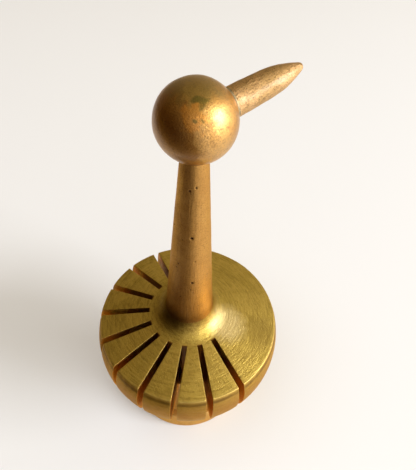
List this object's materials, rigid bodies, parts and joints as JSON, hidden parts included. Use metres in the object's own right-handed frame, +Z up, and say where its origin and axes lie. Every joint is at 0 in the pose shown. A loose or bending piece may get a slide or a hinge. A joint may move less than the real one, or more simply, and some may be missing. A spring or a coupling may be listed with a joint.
{
  "type": "brass drinking bird ornament",
  "caption": "Brass bird ornament on a spool pedestal: slotted disc body as a tail fan, tapered neck, ball head that turns, bullet beak.",
  "frame": {"origin": "on the table, under the neck's axis, at the centre of the felt pad's underside", "axes": "+Z up along the neck, +X towards the beak, -X towards the tail slots, +Y to the bird's left"},
  "size_m": [0.0958, 0.0958, 0.2078],
  "materials": {
    "base_brass": "aged brass, turned, satin",
    "stem_brass": "aged brass, turned, satin",
    "body_brass": "aged olive-gold brass with sanding marks",
    "neck_brass": "cast brass, orange-brown, small pits",
    "ball_brass": "aged brass with olive patches, half polished",
    "beak_brass": "cast brass, grainy satin",
    "silver_solder": "dull silver solder",
    "plated_steel": "zinc plated",
    "felt": "pressed wool felt"
  },
  "bodies": {
    "stand": {"felt_pad": "felt", "base_plate": "base_brass", "stem": "stem_brass", "body_disc": "body_brass", "neck": "neck_brass", "tie_rod": "plated_steel", "tie_nut": "plated_steel", "nut_washer": "plated_steel", "head_stud": "plated_steel"},
    "head": {"head_ball": "ball_brass", "beak": "beak_brass", "beak_solder": "silver_solder"}
  },
  "joints": [
    {"name": "head_turn", "type": "hinge", "parent": "stand", "child": "head", "pos_m": [0, 0, 0.18172], "axis": [0, 0, 1], "continuous": true}
  ]
}
